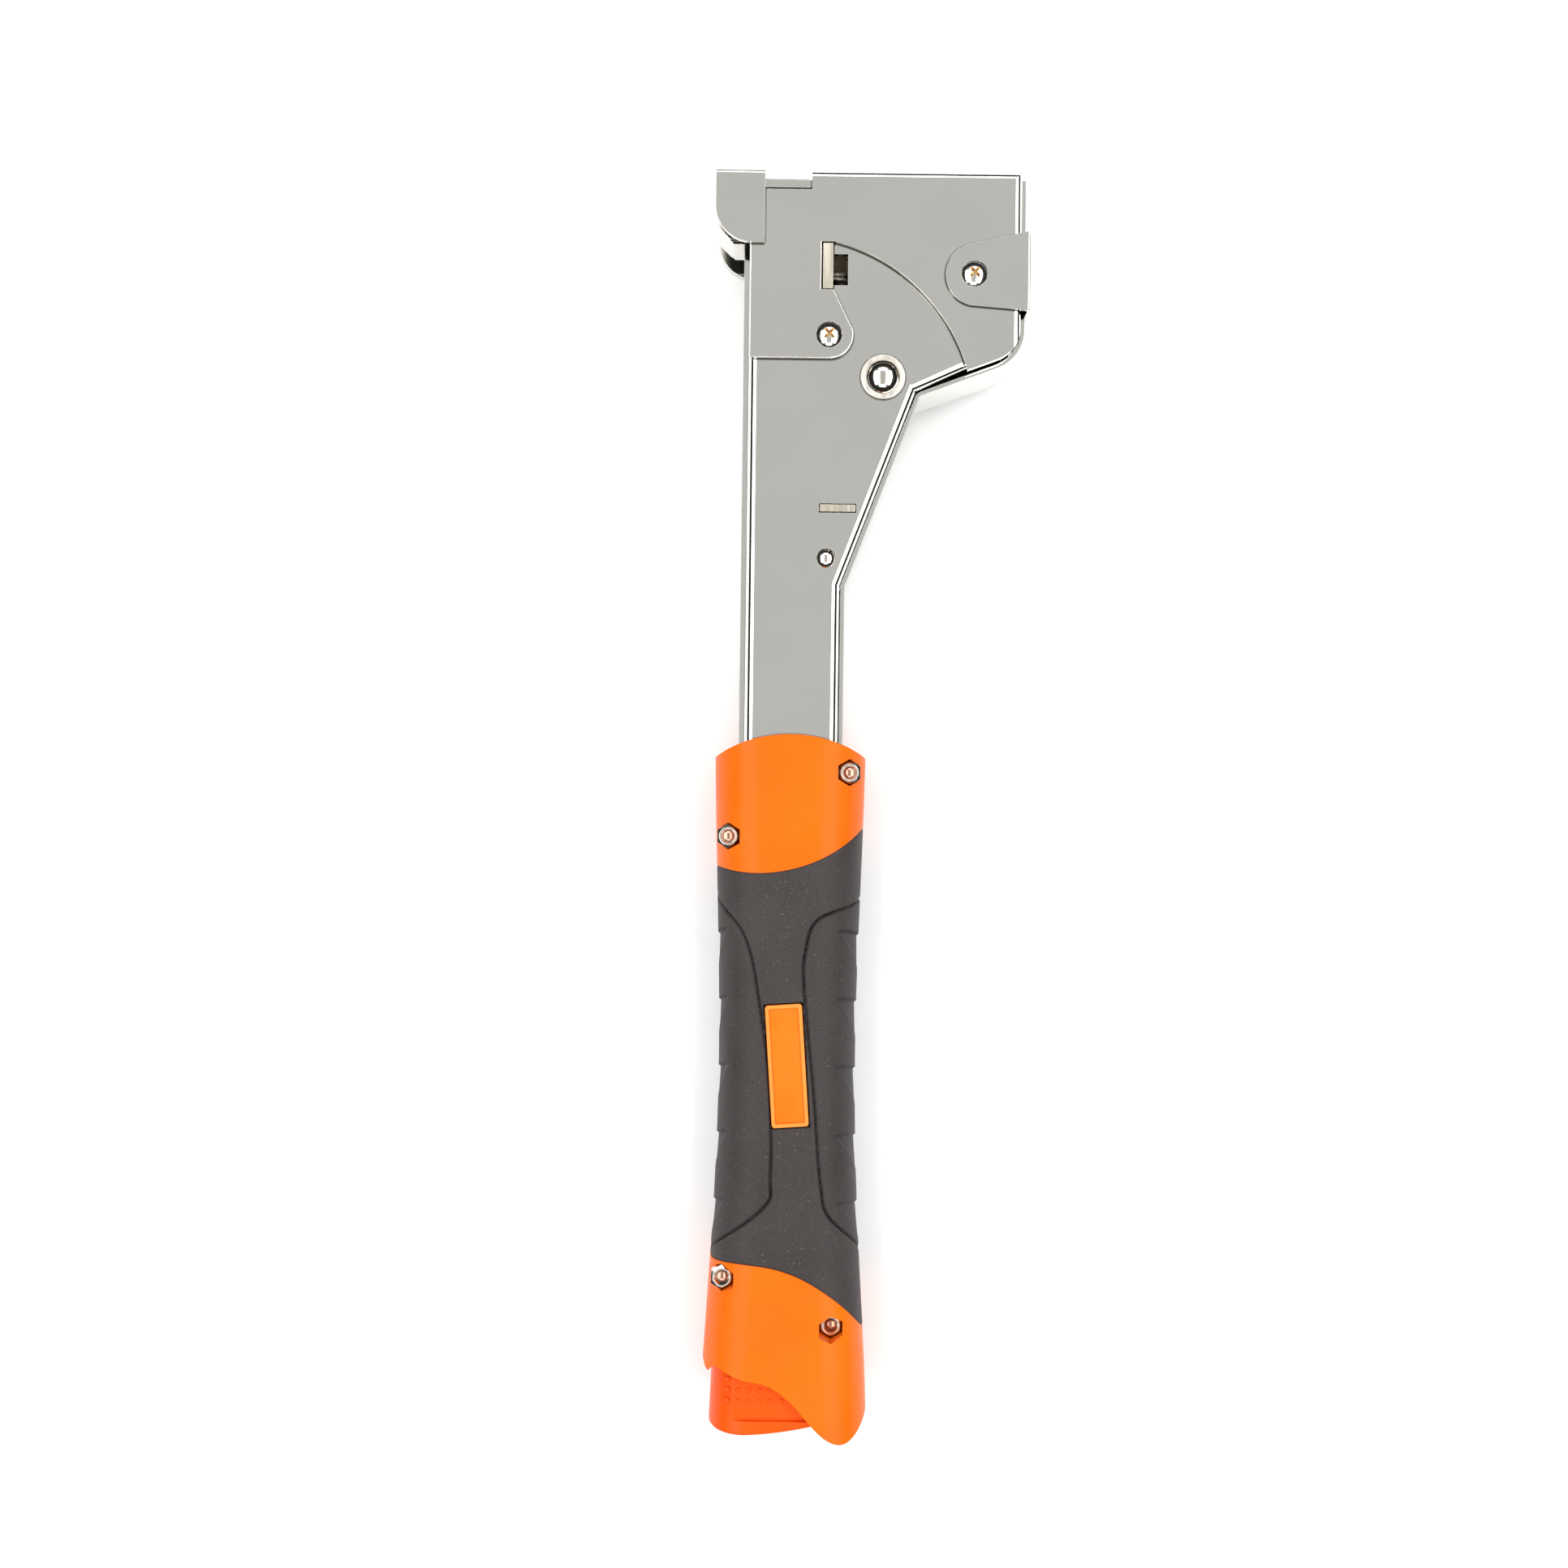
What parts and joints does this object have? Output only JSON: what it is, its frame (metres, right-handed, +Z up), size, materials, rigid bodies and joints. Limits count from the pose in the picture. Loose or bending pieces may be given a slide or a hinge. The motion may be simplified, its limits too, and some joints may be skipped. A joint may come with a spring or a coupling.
{
  "type": "hammer tacker",
  "caption": "Hammer-style stapler with a chromed sheet-metal head on a straight bar, a swinging staple magazine and a two-colour moulded grip with a pull-out pusher.",
  "frame": {"origin": "centre of the footprint of the tool lying on its side, on the rest surface", "axes": "+Y from the butt to the front of the head, -X to the striking side, +Z up through the thickness"},
  "size_m": [0.0794, 0.3189, 0.029],
  "materials": {
    "chromed_sheet": "satin chrome plate",
    "nickel_fastener": "bright nickel plate",
    "bright_steel": "ground steel",
    "staple_wire": "galvanised wire",
    "orange_plastic": "semi-gloss moulded",
    "grip_rubber": "fine matte overmould"
  },
  "bodies": {
    "frame": {"frame_plate_upper": "chromed_sheet", "frame_plate_lower": "chromed_sheet", "spine_strip": "chromed_sheet", "head_cover_upper": "chromed_sheet", "head_cover_lower": "chromed_sheet", "front_plate": "chromed_sheet", "back_clip": "chromed_sheet", "head_screws": "nickel_fastener", "head_nuts": "nickel_fastener", "main_rivet": "nickel_fastener", "rivet_washers": "nickel_fastener", "small_rivet": "nickel_fastener", "anchor_plate": "nickel_fastener", "driver_bracket": "bright_steel", "driver_blade": "bright_steel", "return_spring": "bright_steel", "spring_seat": "bright_steel", "pivot_pin": "bright_steel", "grip_lock_pin": "bright_steel", "grip_shell_upper": "orange_plastic", "grip_shell_lower": "orange_plastic", "grip_rubber_upper": "grip_rubber", "grip_rubber_lower": "grip_rubber", "badge_upper": "orange_plastic", "badge_lower": "orange_plastic", "grip_screws": "nickel_fastener", "grip_nuts": "nickel_fastener"},
    "magazine": {"magazine_channel": "chromed_sheet", "nose_anvil": "chromed_sheet", "nose_guard": "chromed_sheet", "staple_rail": "bright_steel", "spring_saddle": "bright_steel", "staple_strip": "staple_wire"},
    "follower": {"follower": "bright_steel", "pusher_spring": "bright_steel"},
    "pull": {"pull_handle": "orange_plastic", "pusher_rod": "bright_steel", "rod_cross_pin": "bright_steel"}
  },
  "joints": [
    {"name": "magazine_swing", "type": "hinge", "parent": "frame", "child": "magazine", "pos_m": [-0.01242, 0.00695, 0.0145], "axis": [0, 0, -1], "range_deg": [0, 3.3], "stiffness_Nm_per_rad": 38, "springref_deg": -6.88, "deforming": ["return_spring"]},
    {"name": "pull_slide", "type": "slide", "parent": "frame", "child": "pull", "axis": [0, -1, 0], "range_m": [0, 0.09]},
    {"name": "follower_slide", "type": "slide", "parent": "magazine", "child": "follower", "axis": [0, -1, 0], "range_m": [0, 0.09]}
  ],
  "couplings": [
    {"joint": "follower_slide", "follows": "pull_slide", "ratio": 1}
  ]
}
